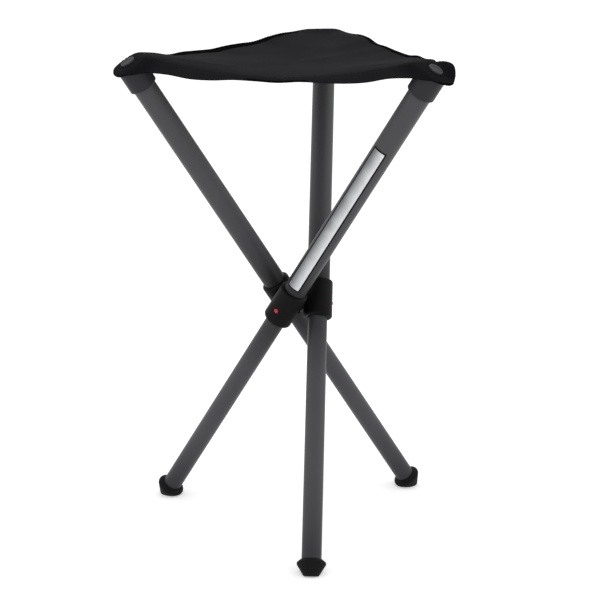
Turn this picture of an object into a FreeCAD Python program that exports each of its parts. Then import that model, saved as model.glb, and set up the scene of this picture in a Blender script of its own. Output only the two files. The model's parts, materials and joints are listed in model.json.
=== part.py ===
"""Three-legged telescopic stool with a cloth seat, in millimetres, +Z up.

The origin is the point on the floor midway between the three feet. Each leg is
a pair of tubes that slide in each other, and its collar turns on a level pin of
the hub, so the legs lean past one another and stand as a twisted tripod.
"""
import FreeCAD, Part
import math
import os

import Sketcher
from FreeCAD import Placement, Rotation, Vector

doc = FreeCAD.newDocument("telescopic_stool")

# Driving sizes, in millimetres and degrees
SIZES = [
    ("seat_height", 499.0, "floor to the leg tops, where the seat is held"),
    ("pivot_height", 238.0, "floor to the pivot pins"),
    ("leg_tilt", 33.6, "lean of each leg from upright when open"),
    ("hub_radius", 23.0, "middle of the stool to each leg's axis at its pivot"),
    ("upper_od", 23.8, "upper tube, outside"),
    ("upper_wall", 1.2, "upper tube, wall"),
    ("lower_od", 20.2, "lower tube, outside"),
    ("lower_wall", 1.2, "lower tube, wall"),
    ("lower_overlap", 40.0, "lower tube, reach above the pivot when drawn out"),
    ("fit_gap", 0.1, "gap between pieces that are pushed together"),
    ("slide_gap", 0.3, "gap round what slides"),
    ("collar_od", 30.2, "collar, outside"),
    ("collar_up", 24.5, "collar, reach above the pivot"),
    ("collar_down", 16.0, "collar, reach below the pivot"),
    ("collar_lip", 3.0, "collar, height of the lip under the upper tube"),
    ("collar_round", 2.2, "collar, rounding of its two outer edges"),
    ("wiper_height", 3.0, "wiper ring, height"),
    ("lug_radius", 8.0, "collar, radius of the lug that bears on the hub"),
    ("core_face", 5.2, "middle of the stool to each flat of the hub core"),
    ("core_half_height", 9.0, "hub core, half its height"),
    ("core_half_face", 7.6, "hub core, half the width of each flat"),
    ("bearing_gap", 0.3, "gap between the hub core and each lug"),
    ("pin_radius", 2.5, "pivot pin, shank"),
    ("pin_start", 2.2, "middle of the stool to the inner end of each pin"),
    ("pin_head_radius", 4.5, "pivot pin, head"),
    ("pin_head", 1.4, "pivot pin, height of the head"),
    ("pin_clearance", 0.08, "pivot pin, running clearance"),
    ("pin_head_gap", 0.8, "gap between the upper tube and the head of the pivot pin"),
    ("button_radius", 2.3, "lock button, the part that shows"),
    ("button_flange_radius", 3.1, "lock button, flange"),
    ("button_flange", 0.7, "lock button, height of the flange"),
    ("button_seat", 1.0, "upper tube to the outer face of the button's flange"),
    ("button_proud", 0.6, "lock button, height above the collar"),
    ("button_gap", 0.2, "gap round the lock button"),
    ("dish_radius", 4.4, "collar, radius of the dish round the button"),
    ("dish_depth", 0.9, "collar, depth of the dish round the button"),
    ("latch_radius", 3.0, "latch pin"),
    ("latch_gap", 0.3, "gap round the latch pin in both tubes"),
    ("latch_strip", 0.6, "latch spring, thickness of the strip"),
    ("latch_width", 6.0, "latch spring, width of the strip"),
    ("latch_length", 26.0, "latch spring, reach above the pin"),
    ("latch_tail", 1.0, "latch spring, reach of the strip below the pin"),
    ("latch_back", 8.2, "tube axis to the back leaf of the latch spring"),
    ("latch_front", 7.2, "tube axis to the front leaf of the latch spring"),
    ("bush_flange", 3.0, "guide bush, height above the lower tube"),
    ("bush_spigot", 10.0, "guide bush, reach into the lower tube"),
    ("bush_wall", 2.0, "guide bush, wall of the spigot"),
    ("foot_rim_radius", 14.8, "foot, rim"),
    ("foot_rim_round", 2.2, "foot, rounding of the rim"),
    ("foot_rim_up", 11.9, "foot, middle of the rim above the floor along the leg"),
    ("foot_sleeve_up", 16.1, "foot, top of the sleeve above the floor along the leg"),
    ("foot_sleeve_wall", 0.9, "foot, wall at the top of the sleeve"),
    ("foot_tip_radius", 7.25, "foot, end of the cone"),
    ("foot_tip_down", 1.2, "foot, end of the cone below the floor before it is cut flat"),
    ("foot_tube_up", 10.6, "lower end of the tube above the floor along the leg"),
    ("washer_height", 1.0, "foot washer, thickness"),
    ("washer_bore", 4.0, "foot washer, radius of the hole"),
    ("cap_od", 28.8, "top cap, outside"),
    ("cap_length", 26.5, "top cap, length"),
    ("cap_top", 3.0, "top cap, thickness of the top"),
    ("cap_round", 2.4, "top cap, broken top edge"),
    ("cap_chamfer", 0.8, "top cap, broken lower edge"),
    ("cap_boss_radius", 6.0, "top cap, radius of the boss that takes the stud"),
    ("cap_boss", 11.0, "top cap, depth of the boss"),
    ("stud_head_radius", 7.4, "corner stud, head"),
    ("stud_head", 1.8, "corner stud, height of the head"),
    ("stud_radius", 3.0, "corner stud, shank"),
    ("stud_length", 13.0, "corner stud, length of the shank"),
    ("stud_dish", 0.5, "corner stud, depth of the hollow in the head"),
    ("label_start", 30.9, "label, lower end above the pivot"),
    ("label_length", 184.3, "label, length"),
    ("label_width", 16.2, "label, width round the tube"),
    ("label_turn", 4.0, "label, turned round the tube from the line of the pin"),
    ("label_thick", 0.25, "label, thickness"),
    ("label_gap", 0.02, "gap under the label"),
    ("cut_past", 1.0, "reach of a cut past the faces that it opens"),
    ("cloth_thick", 2.0, "seat cloth with its lining"),
    ("cloth_gap", 0.15, "gap above and below the cloth where it is clamped"),
    ("seam_gap", 0.3, "gap between neighbouring fields of the cloth"),
    ("seat_offset", 12.0, "seat edge outside the line between two leg tops"),
    ("crest_inset", 13.0, "leg top to the fold line of the corner, inwards"),
    ("tip_reach", 14.2, "leg top to the outer end of the corner"),
    ("middle_drop", 8.5, "leg tops down to the middle of the seat"),
    ("corner_hem_drop", 8.5, "leg tops down to the hem beside them"),
    ("tip_hem_drop", 12.5, "leg tops down to the hem at the end of each corner"),
    ("front_ridge_drop", 10.0, "leg tops down to the top of the front edge, in the middle"),
    ("front_hem_drop", 15.0, "leg tops down to the hem of the front edge, in the middle"),
    ("back_ridge_rise", 0.5, "leg tops up to the top of the back edges, in the middle"),
    ("back_hem_drop", 10.5, "leg tops down to the hem of the back edges, in the middle"),
]

sheet = doc.addObject("Spreadsheet::Sheet", "sizes")
for row, (alias, number, meaning) in enumerate(SIZES, start=1):
    sheet.set(f"A{row}", meaning)
    sheet.set(f"B{row}", str(number))
    sheet.setAlias(f"B{row}", alias)
doc.recompute()

# Places that follow from the driving sizes, along a leg from its pivot
UPPER_REACH = "((sizes.seat_height - sizes.pivot_height) / cos(sizes.leg_tilt))"
FLOOR_REACH = "(sizes.pivot_height / cos(sizes.leg_tilt))"
CAP_UPPER = f"({UPPER_REACH} - sizes.stud_head - sizes.cloth_thick - 2 * sizes.cloth_gap)"
CAP_UNDER = f"({CAP_UPPER} - sizes.cap_top)"
LIP_TOP = "(sizes.collar_lip - sizes.collar_down)"
WIPER_TOP = f"({LIP_TOP} + sizes.wiper_height)"
UPPER_OUT = "(sizes.upper_od / 2)"
UPPER_IN = "(sizes.upper_od / 2 - sizes.upper_wall)"
LOWER_OUT = "(sizes.lower_od / 2)"
LOWER_IN = "(sizes.lower_od / 2 - sizes.lower_wall)"
COLLAR_OUT = "(sizes.collar_od / 2)"
COLLAR_BORE = f"({UPPER_OUT} + sizes.fit_gap)"
LUG_FACE = "(sizes.core_face + sizes.bearing_gap)"
HEAD_DEPTH = f"({UPPER_OUT} + sizes.pin_head_gap + sizes.pin_head + sizes.fit_gap)"
BUTTON_SEAT = f"({UPPER_OUT} + sizes.button_seat)"
LATCH_TOP = f"({BUTTON_SEAT} - sizes.button_flange - sizes.fit_gap)"
TUBE_FOOT = f"(sizes.foot_tube_up - {FLOOR_REACH})"
SEAT_MIDDLE = "(sizes.seat_height - sizes.middle_drop)"
CORNER_HEM = "(sizes.seat_height - sizes.corner_hem_drop)"
TIP_HEM = "(sizes.seat_height - sizes.tip_hem_drop)"
FRONT_RIDGE = "(sizes.seat_height - sizes.front_ridge_drop)"
FRONT_HEM = "(sizes.seat_height - sizes.front_hem_drop)"
BACK_RIDGE = "(sizes.seat_height + sizes.back_ridge_rise)"
BACK_HEM = "(sizes.seat_height - sizes.back_hem_drop)"

LEGS = (1, 2, 3)
LABELLED_LEG = 3
FRONT_SIDE = (2, 3)
parts = []


def size(alias):
    """Value of one driving size."""
    return float(getattr(sheet, alias))


def worked_out(text):
    """Value of an expression of the driving sizes."""
    return float(sheet.evalExpression(text))


def bind(feature, prop, text):
    """Bind one property to an expression of the driving sizes."""
    feature.setExpression(prop, text)


def new_body(name):
    """Empty body with its own label, kept in the list of sub-parts."""
    body = doc.addObject("PartDesign::Body", name)
    body.Label = name
    parts.append(body)
    return body


def new_sketch(body, role, name, lift=None):
    """Sketch on one of the body's own origin planes, lifted off it if asked."""
    sketch = body.newObject("Sketcher::SketchObject", name)
    plane = next(f for f in body.Origin.OriginFeatures if f.Role == role)
    sketch.AttachmentSupport = [(plane, "")]
    sketch.MapMode = "FlatFace"
    if lift is not None:
        bind(sketch, ".AttachmentOffset.Base.z", lift)
    return sketch


def polygon(sketch, corners):
    """Closed outline whose corners are pairs of expressions (across, up)."""
    places = [Vector(worked_out(a), worked_out(b), 0) for a, b in corners]
    count = len(places)
    for i, place in enumerate(places):
        sketch.addGeometry(Part.LineSegment(place, places[(i + 1) % count]), False)
    for i in range(count):
        sketch.addConstraint(Sketcher.Constraint("Coincident", i, 2, (i + 1) % count, 1))
    for i, (pair, place) in enumerate(zip(corners, places)):
        for kind, text, value in zip(("DistanceX", "DistanceY"), pair, place):
            number = sketch.addConstraint(Sketcher.Constraint(kind, -1, 1, i, 1, value))
            bind(sketch, f"Constraints[{number}]", text)


def circle(sketch, radius, up="0"):
    """Circle on the sketch's upright axis."""
    centre = Vector(0, worked_out(up), 0)
    sketch.addGeometry(Part.Circle(centre, Vector(0, 0, 1), worked_out(radius)), False)
    sketch.addConstraint(Sketcher.Constraint("PointOnObject", 0, 3, -2))
    height = sketch.addConstraint(Sketcher.Constraint("DistanceY", -1, 1, 0, 3, centre.y))
    round_size = sketch.addConstraint(Sketcher.Constraint("Radius", 0, worked_out(radius)))
    bind(sketch, f"Constraints[{height}]", up)
    bind(sketch, f"Constraints[{round_size}]", radius)


def turned(body, corners, axis="V_Axis", kind="Revolution", degrees="360"):
    """Turned solid, or turned cut, from an outline of (radius, up) corners."""
    sketch = new_sketch(body, "XZ_Plane", body.Name + "_" + kind.lower() + "_outline")
    polygon(sketch, corners)
    feature = body.newObject("PartDesign::" + kind, body.Name + "_" + kind.lower())
    feature.Profile = sketch
    feature.ReferenceAxis = (sketch, [axis])
    feature.Midplane = True
    bind(feature, "Angle", degrees)
    sketch.Visibility = False
    return feature


def cross_pad(body, name, radius, length, outward, lift=None):
    """Round bar square to the tube, from the tube's axis or from lift."""
    sketch = new_sketch(body, "YZ_Plane", name + "_outline", lift)
    circle(sketch, radius)
    feature = body.newObject("PartDesign::Pad", name)
    feature.Profile = sketch
    feature.Reversed = not outward
    bind(feature, "Length", length)
    return feature


def cross_cut(body, name, radius, depth, outward):
    """Round hole square to the tube, from its axis outwards or hubwards."""
    doc.recompute()
    before = body.Shape.Volume
    sketch = new_sketch(body, "YZ_Plane", name + "_outline")
    circle(sketch, radius)
    feature = body.newObject("PartDesign::Pocket", name)
    feature.Profile = sketch
    feature.Reversed = outward
    bind(feature, "Length", depth)
    doc.recompute()
    if body.Shape.Volume > before - 1e-6:
        raise RuntimeError(f"{name} cuts nothing")
    return feature


def soften(body, radius, rounding):
    """Round the edges of the turned solid that have this radius."""
    doc.recompute()
    tip = body.Tip
    edges = [
        f"Edge{i}" for i, edge in enumerate(tip.Shape.Edges, start=1)
        if isinstance(edge.Curve, Part.Circle)
        and abs(edge.Curve.Radius - worked_out(radius)) < 1e-6
    ]
    fillet = body.newObject("PartDesign::Fillet", body.Name + "_rounding")
    fillet.Base = (tip, edges)
    bind(fillet, "Radius", rounding)


def leg_frame(leg):
    """Frame of a leg: origin at its pivot, Z up the tube, X away from the hub."""
    turn = Placement(Vector(), Rotation(Vector(0, 0, 1), 120.0 * (leg - 1)))
    shift = Placement(Vector(size("hub_radius"), 0, size("pivot_height")), Rotation())
    lean = Placement(Vector(), Rotation(Vector(1, 0, 0), -size("leg_tilt")))
    return turn * shift * lean


def hub_frame(leg):
    """Frame of a pivot: origin in the middle of the hub, X along the pin."""
    turn = Placement(Vector(), Rotation(Vector(0, 0, 1), 120.0 * (leg - 1)))
    return turn * Placement(Vector(0, 0, size("pivot_height")), Rotation())


def ring(inner, outer, bottom, top):
    """Outline of a plain ring."""
    return [(inner, bottom), (outer, bottom), (outer, top), (inner, top)]


def make_upper_tube(leg):
    """Aluminium upper tube with the hole that the latch pin springs into."""
    body = new_body(f"upper_tube_{leg}")
    turned(body, ring(UPPER_IN, UPPER_OUT, WIPER_TOP, f"{CAP_UNDER} - sizes.fit_gap"))
    hole = "sizes.button_flange_radius + sizes.button_gap"
    cross_cut(body, body.Name + "_latch_hole", hole, "sizes.upper_od", True)
    body.Placement = leg_frame(leg)


def make_collar(leg):
    """Moulded collar: sleeve, lug for the pivot pin, and well for the button."""
    body = new_body(f"collar_{leg}")
    turned(body, ring("0", COLLAR_OUT, "-sizes.collar_down", "sizes.collar_up"))
    soften(body, COLLAR_OUT, "sizes.collar_round")
    cross_pad(body, body.Name + "_lug", "sizes.lug_radius", f"sizes.hub_radius - {LUG_FACE}", False)
    below = "-sizes.collar_down - sizes.cut_past"
    above = "sizes.collar_up + sizes.cut_past"
    mouth = f"{LOWER_OUT} + 2 * sizes.slide_gap"
    turned(body, [
        ("0", below),
        (mouth, below),
        (mouth, LIP_TOP),
        (COLLAR_BORE, LIP_TOP),
        (COLLAR_BORE, above),
        ("0", above),
    ], kind="Groove")
    name = body.Name
    pin = "sizes.pin_radius + sizes.pin_clearance"
    cross_cut(body, name + "_pin_bore", pin, "sizes.hub_radius", False)
    head = "sizes.pin_head_radius + sizes.slide_gap"
    cross_cut(body, name + "_head_well", head, HEAD_DEPTH, False)
    button = "sizes.button_radius + sizes.button_gap"
    cross_cut(body, name + "_button_bore", button, "sizes.collar_od", True)
    flange = "sizes.button_flange_radius + sizes.button_gap"
    cross_cut(body, name + "_button_well", flange, f"{BUTTON_SEAT} + sizes.fit_gap / 2", True)
    turned_dish(body)
    body.Placement = leg_frame(leg)


def turned_dish(body):
    """Shallow dish in the collar round the button."""
    sketch = new_sketch(body, "XZ_Plane", body.Name + "_dish_outline")
    inner = "sizes.button_radius + sizes.button_gap"
    polygon(sketch, [
        (f"{COLLAR_OUT} - sizes.dish_depth", "0"),
        (f"{COLLAR_OUT} - sizes.dish_depth", inner),
        (COLLAR_OUT, "sizes.dish_radius"),
        (f"{COLLAR_OUT} + sizes.cut_past", "sizes.dish_radius"),
        (f"{COLLAR_OUT} + sizes.cut_past", "0"),
    ])
    dish = body.newObject("PartDesign::Groove", body.Name + "_dish")
    dish.Profile = sketch
    dish.ReferenceAxis = (sketch, ["H_Axis"])
    dish.Angle = 360
    dish.Midplane = True


def make_wiper_ring(leg):
    """Nylon ring that guides the lower tube at the mouth of the collar."""
    body = new_body(f"wiper_ring_{leg}")
    inner = f"{LOWER_OUT} + sizes.slide_gap"
    turned(body, ring(inner, UPPER_OUT, LIP_TOP, f"{WIPER_TOP} - sizes.fit_gap"))
    body.Placement = leg_frame(leg)


def make_pivot_pin(leg):
    """Steel pin, pressed in the hub core, with its head inside the collar."""
    body = new_body(f"pivot_pin_{leg}")
    face = f"sizes.hub_radius - {HEAD_DEPTH} + sizes.fit_gap"
    turned(body, [
        ("sizes.pin_start", "0"),
        ("sizes.pin_start", "sizes.pin_radius"),
        (face, "sizes.pin_radius"),
        (face, "sizes.pin_head_radius"),
        (f"{face} + sizes.pin_head", "sizes.pin_head_radius"),
        (f"{face} + sizes.pin_head", "0"),
    ], axis="H_Axis")
    body.Placement = hub_frame(leg)


def make_lock_button(leg):
    """Red push button, kept in the collar by its flange."""
    body = new_body(f"lock_button_{leg}")
    crown = f"({COLLAR_OUT} + sizes.button_proud)"
    turned(body, [
        (f"{BUTTON_SEAT} - sizes.button_flange", "0"),
        (f"{BUTTON_SEAT} - sizes.button_flange", "sizes.button_flange_radius"),
        (BUTTON_SEAT, "sizes.button_flange_radius"),
        (BUTTON_SEAT, "sizes.button_radius"),
        (f"{crown} - sizes.button_radius / 3", "sizes.button_radius"),
        (crown, "sizes.button_radius / 2"),
        (crown, "0"),
    ], axis="H_Axis")
    body.Placement = leg_frame(leg)


def make_latch_spring(leg):
    """Bent steel strip inside the lower tube, with the latch pin at its end."""
    body = new_body(f"latch_spring_{leg}")
    outline = new_sketch(body, "XZ_Plane", body.Name + "_strip_outline")
    back = "(-sizes.latch_back)"
    front = "sizes.latch_front"
    foot = "(-sizes.latch_radius - sizes.latch_tail)"
    strip = "sizes.latch_strip"
    polygon(outline, [
        (back, foot),
        (f"{back} + {strip}", foot),
        (f"{back} + {strip}", f"sizes.latch_length - {strip}"),
        (f"{front} - {strip}", f"sizes.latch_length - {strip}"),
        (f"{front} - {strip}", foot),
        (front, foot),
        (front, "sizes.latch_length"),
        (back, "sizes.latch_length"),
    ])
    pad = body.newObject("PartDesign::Pad", body.Name + "_strip")
    pad.Profile = outline
    pad.Midplane = True
    bind(pad, "Length", "sizes.latch_width")
    pin_length = f"{LATCH_TOP} - sizes.latch_front + sizes.latch_strip / 2"
    lift = "sizes.latch_front - sizes.latch_strip / 2"
    cross_pad(body, body.Name + "_pin", "sizes.latch_radius", pin_length, True, lift)
    body.Placement = leg_frame(leg)


def make_lower_tube(leg):
    """Aluminium lower tube with the hole that the latch pin stands in."""
    body = new_body(f"lower_tube_{leg}")
    turned(body, ring(LOWER_IN, LOWER_OUT, TUBE_FOOT, "sizes.lower_overlap"))
    hole = "sizes.latch_radius + sizes.latch_gap"
    cross_cut(body, body.Name + "_latch_hole", hole, "sizes.lower_od", True)
    body.Placement = leg_frame(leg)


def make_guide_bush(leg):
    """Nylon bush on the upper end of the lower tube."""
    body = new_body(f"guide_bush_{leg}")
    spigot = f"({LOWER_IN} - sizes.fit_gap)"
    bore = f"{spigot} - sizes.bush_wall"
    seat = "(sizes.lower_overlap + sizes.fit_gap)"
    flange = f"{UPPER_IN} - sizes.slide_gap"
    turned(body, [
        (bore, "sizes.lower_overlap - sizes.bush_spigot"),
        (spigot, "sizes.lower_overlap - sizes.bush_spigot"),
        (spigot, seat),
        (flange, seat),
        (flange, f"{seat} + sizes.bush_flange"),
        (bore, f"{seat} + sizes.bush_flange"),
    ])
    body.Placement = leg_frame(leg)


def make_foot(leg):
    """Rubber foot: sleeve, rounded rim and a cone that is cut flat on the floor."""
    body = new_body(f"foot_{leg}")
    rim = "sizes.foot_rim_radius"
    middle = f"sizes.foot_rim_up - {FLOOR_REACH}"
    sleeve = f"{LOWER_OUT} + sizes.fit_gap"
    seat = f"{TUBE_FOOT} - sizes.washer_height - sizes.fit_gap"
    turned(body, [
        ("0", f"-sizes.foot_tip_down - {FLOOR_REACH}"),
        ("sizes.foot_tip_radius", f"-sizes.foot_tip_down - {FLOOR_REACH}"),
        (rim, f"{middle} - sizes.foot_rim_round / 2"),
        (rim, f"{middle} + sizes.foot_rim_round / 2"),
        (f"{sleeve} + sizes.foot_sleeve_wall", f"sizes.foot_sleeve_up - {FLOOR_REACH}"),
        (sleeve, f"sizes.foot_sleeve_up - {FLOOR_REACH}"),
        (sleeve, seat),
        ("0", seat),
    ])
    soften(body, rim, "sizes.foot_rim_round")
    cut_at_floor(body)
    body.Placement = leg_frame(leg)


def cut_at_floor(body):
    """Take away what would lie below the floor."""
    doc.recompute()
    before = body.Shape.Volume
    sketch = new_sketch(body, "YZ_Plane", body.Name + "_floor_outline")
    half = "(2 * sizes.foot_rim_radius)"
    rise = f"({half} * tan(sizes.leg_tilt))"
    depth = f"({FLOOR_REACH} + 3 * sizes.foot_rim_radius)"
    polygon(sketch, [
        (f"-{half}", f"-{FLOOR_REACH} - {rise}"),
        (f"-{half}", f"-{depth}"),
        (half, f"-{depth}"),
        (half, f"-{FLOOR_REACH} + {rise}"),
    ])
    cut = body.newObject("PartDesign::Pocket", body.Name + "_floor")
    cut.Profile = sketch
    cut.Midplane = True
    bind(cut, "Length", "4 * sizes.foot_rim_radius")
    doc.recompute()
    if body.Shape.Volume > before - 1e-6:
        raise RuntimeError(f"{body.Name} isn't cut flat")


def make_foot_washer(leg):
    """Steel washer that keeps the tube from cutting through the foot."""
    body = new_body(f"foot_washer_{leg}")
    bottom = f"{TUBE_FOOT} - sizes.washer_height"
    turned(body, ring("sizes.washer_bore", LOWER_OUT, bottom, TUBE_FOOT))
    body.Placement = leg_frame(leg)


def make_top_cap(leg):
    """Moulded cap on the upper tube, with a boss for the corner stud."""
    body = new_body(f"top_cap_{leg}")
    outside = "(sizes.cap_od / 2)"
    bottom = f"({CAP_UPPER} - sizes.cap_length)"
    chamfer = "sizes.cap_chamfer"
    turned(body, [
        ("sizes.stud_radius + sizes.fit_gap", CAP_UPPER),
        (f"{outside} - sizes.cap_round", CAP_UPPER),
        (outside, f"{CAP_UPPER} - sizes.cap_round"),
        (outside, f"{bottom} + {chamfer}"),
        (f"{outside} - {chamfer}", bottom),
        (f"{UPPER_OUT} + sizes.fit_gap", bottom),
        (f"{UPPER_OUT} + sizes.fit_gap", CAP_UNDER),
        ("sizes.cap_boss_radius", CAP_UNDER),
        ("sizes.cap_boss_radius", f"{CAP_UNDER} - sizes.cap_boss"),
        ("sizes.stud_radius + sizes.fit_gap", f"{CAP_UNDER} - sizes.cap_boss"),
    ])
    body.Placement = leg_frame(leg)


def make_corner_stud(leg):
    """Stud that clamps the corner of the seat on the top cap."""
    body = new_body(f"corner_stud_{leg}")
    head = f"({UPPER_REACH} - sizes.stud_head)"
    turned(body, [
        ("0", f"{head} - sizes.stud_length"),
        ("sizes.stud_radius", f"{head} - sizes.stud_length"),
        ("sizes.stud_radius", head),
        ("sizes.stud_head_radius", head),
        ("sizes.stud_head_radius", f"{UPPER_REACH} - sizes.stud_dish"),
        ("sizes.stud_head_radius - sizes.stud_dish", UPPER_REACH),
        ("sizes.stud_head_radius - 3 * sizes.stud_dish", UPPER_REACH),
        ("0", f"{UPPER_REACH} - sizes.stud_dish"),
    ])
    body.Placement = leg_frame(leg)


def make_label(leg):
    """Thin plate curved round the upper tube."""
    body = new_body("label_plate")
    inner = f"({UPPER_OUT} + sizes.label_gap)"
    outer = f"{inner} + sizes.label_thick"
    end = "sizes.label_start + sizes.label_length"
    turned(body, ring(inner, outer, "sizes.label_start", end),
           degrees=f"sizes.label_width / {UPPER_OUT} * 180 / pi")
    turn = Placement(Vector(), Rotation(Vector(0, 0, 1), size("label_turn")))
    body.Placement = leg_frame(leg) * turn


def make_hub_core():
    """Three-sided hub core with a flat and a pin bore for each collar."""
    body = new_body("hub_core")
    sketch = new_sketch(body, "XY_Plane", "hub_core_outline")
    corners = []
    for leg in LEGS:
        turn = 120 * (leg - 1)
        for edge in ("-sizes.core_half_face", "sizes.core_half_face"):
            corners.append((
                f"sizes.core_face * cos({turn}) - ({edge}) * sin({turn})",
                f"sizes.core_face * sin({turn}) + ({edge}) * cos({turn})",
            ))
    polygon(sketch, corners)
    block = body.newObject("PartDesign::Pad", "hub_core_block")
    block.Profile = sketch
    block.Midplane = True
    bind(block, "Length", "2 * sizes.core_half_height")
    press = "sizes.pin_radius + sizes.fit_gap / 4"
    bore = cross_cut(body, "hub_core_bore", press, "2 * sizes.core_face", True)
    pattern = body.newObject("PartDesign::PolarPattern", "hub_core_bores")
    pattern.Originals = [bore]
    pattern.Axis = (next(f for f in body.Origin.OriginFeatures if f.Role == "Z_Axis"), [""])
    pattern.Angle = 360
    pattern.Occurrences = len(LEGS)
    body.Tip = pattern
    body.Placement = Placement(Vector(0, 0, size("pivot_height")), Rotation())


class SeatCloth:
    """The cloth in the frame of one corner: X outwards, Y along the edge."""

    SECTIONS = 6
    POINTS = 9
    CORNER_BEND = 8.0
    MIDDLE_BEND = 4.5
    SAG = 1.6
    HEM_SAG = 2.0
    RISE = 1.5
    TAPER = 2.6

    def __init__(self):
        tilt = math.radians(size("leg_tilt"))
        out = (size("seat_height") - size("pivot_height")) * math.tan(tilt)
        self.slope = math.tan(tilt)
        self.radius = math.hypot(size("hub_radius"), out)
        self.azimuth = math.atan2(out, size("hub_radius"))
        self.skew = math.pi / 2 - self.azimuth
        self.lift = 1 / math.cos(tilt)
        self.crest = self.radius - size("crest_inset")
        half = math.tan(math.pi / 6)
        self.corner_width = (self.radius - self.crest) * half
        self.corner_width += size("seat_offset") / math.cos(math.pi / 6)
        middle = self.radius / 2 + size("seat_offset")
        self.middle = Vector(middle / 2, middle * math.sin(math.pi / 3), 0)

    def clamped(self, across, along, depth=0.0):
        """Height of the clamped plane, depth below the upper face of the cloth."""
        out = math.cos(self.skew) * (across - self.radius) + math.sin(self.skew) * along
        down = size("stud_head") + size("cloth_gap") + depth
        return size("seat_height") - down * self.lift - self.slope * out

    def field_section(self, part, side, ridge, hem):
        """Half section from the middle line of a corner to one edge of the seat."""
        thick = size("cloth_thick")
        start = Vector(part * self.crest, 0, 0)
        corner = Vector(self.crest, self.corner_width, 0)
        end = self.middle + (corner - self.middle) * part
        across = (end - start).normalize()
        width = (end - start).Length
        middle = worked_out(SEAT_MIDDLE)
        foot = hem + (worked_out(CORNER_HEM) - hem) * part ** self.HEM_SAG
        rise = (ridge - middle) * (1 - part)
        bend = self.MIDDLE_BEND + (self.CORNER_BEND - self.MIDDLE_BEND) * part
        seam = Vector(math.cos(math.pi / 6), math.sin(math.pi / 6), 0) * size("seam_gap")
        curves = []
        for inset in (0.0, thick):
            points = []
            for step in range(self.POINTS + 1):
                share, down = bent(step / self.POINTS, bend)
                place = start + seam + across * ((width - inset) * share)
                place.y *= side
                crest = self.clamped(self.crest, place.y) - middle
                top = middle + crest * part ** self.SAG + rise * share ** self.RISE
                top -= inset * self.lift
                points.append(Vector(place.x, place.y, top - (top - foot) * down))
            curves.append(points)
        return section(*curves)

    def corner_section(self, across):
        """Section of a corner of the cloth, over the top cap."""
        thick = size("cloth_thick")
        tip = self.radius + size("tip_reach")
        part = (across - self.crest) / (tip - self.crest)
        width = self.corner_width * math.sqrt(1 - part ** self.TAPER)
        foot = worked_out(CORNER_HEM) + (worked_out(TIP_HEM) - worked_out(CORNER_HEM)) * part
        curves = []
        for depth in (0.0, thick):
            points = []
            for step in range(-self.POINTS, self.POINTS + 1):
                share, down = bent(abs(step) / self.POINTS, self.CORNER_BEND)
                along = math.copysign((width - depth) * share, step)
                top = self.clamped(across, along, depth)
                low = min(foot, self.clamped(across, 0, 2 * thick))
                points.append(Vector(across, along, top - (top - low) * down))
            curves.append(points)
        return section(*curves)


def bent(step, power):
    """Sideways and downward share of a section that bends down at its edge."""
    angle = step * math.pi / 2
    share = math.sin(angle) ** (2 / power)
    down = 1 - max(math.cos(angle), 0.0) ** (2 / power)
    return share, down


def section(outer, inner):
    """Closed section between two rows of points."""
    curves = []
    for row in (outer, inner):
        curve = Part.BSplineCurve()
        curve.interpolate(row)
        curves.append(curve.toShape())
    ends = [Part.makeLine(outer[i], inner[i]) for i in (0, -1)]
    return Part.Wire(Part.__sortEdges__([curves[0], ends[1], curves[1], ends[0]]))


def corner_frame(cloth, leg):
    """Frame of a corner of the seat: origin on the floor, X towards the leg top."""
    turn = math.degrees(cloth.azimuth) + 120.0 * (leg - 1)
    return Placement(Vector(), Rotation(Vector(0, 0, 1), turn))


def add_feature(name, shape, placement):
    """Sub-part with a shape of its own, kept in the list of sub-parts."""
    feature = doc.addObject("Part::Feature", name)
    feature.Label = name
    feature.Shape = shape
    feature.Placement = placement
    parts.append(feature)


def make_seat_field(cloth, leg, side):
    """Field of the seat between a corner, the middle and one edge."""
    other = (leg - 1 + side) % len(LEGS) + 1
    front = {leg, other} == set(FRONT_SIDE)
    ridge, hem = (FRONT_RIDGE, FRONT_HEM) if front else (BACK_RIDGE, BACK_HEM)
    rows = range(cloth.SECTIONS + 1)
    wires = [
        cloth.field_section(i / cloth.SECTIONS, side, worked_out(ridge), worked_out(hem))
        for i in rows
    ]
    shape = Part.makeLoft(wires, True, True)
    add_feature(f"seat_field_{leg}_{other}", shape, corner_frame(cloth, leg))


def make_seat_corner(cloth, leg):
    """Corner of the seat, folded over the top cap and pierced for its stud."""
    start = cloth.crest + 2 * size("seam_gap")
    end = cloth.radius + size("tip_reach") - size("cloth_thick")
    count = cloth.SECTIONS
    places = [start + (end - start) * math.sin(i / count * math.pi / 2) for i in range(count + 1)]
    shape = Part.makeLoft([cloth.corner_section(place) for place in places], True, True)
    frame = corner_frame(cloth, leg)
    reach = size("stud_length") + size("cap_length")
    hole = Part.makeCylinder(size("stud_radius") + size("slide_gap"), 2 * reach, Vector(0, 0, -reach))
    hole.Placement = frame.inverse() * leg_frame(leg) * Placement(
        Vector(0, 0, worked_out(UPPER_REACH)), Rotation()) * hole.Placement
    add_feature(f"seat_corner_{leg}", shape.cut(hole), frame)


make_hub_core()
for leg in LEGS:
    make_pivot_pin(leg)
    make_collar(leg)
    make_upper_tube(leg)
    make_wiper_ring(leg)
    make_lock_button(leg)
    make_latch_spring(leg)
    make_lower_tube(leg)
    make_guide_bush(leg)
    make_foot(leg)
    make_foot_washer(leg)
    make_top_cap(leg)
    make_corner_stud(leg)
make_label(LABELLED_LEG)

seat = SeatCloth()
for leg in LEGS:
    make_seat_corner(seat, leg)
    for side in (1, -1):
        make_seat_field(seat, leg, side)

doc.recompute()

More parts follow.
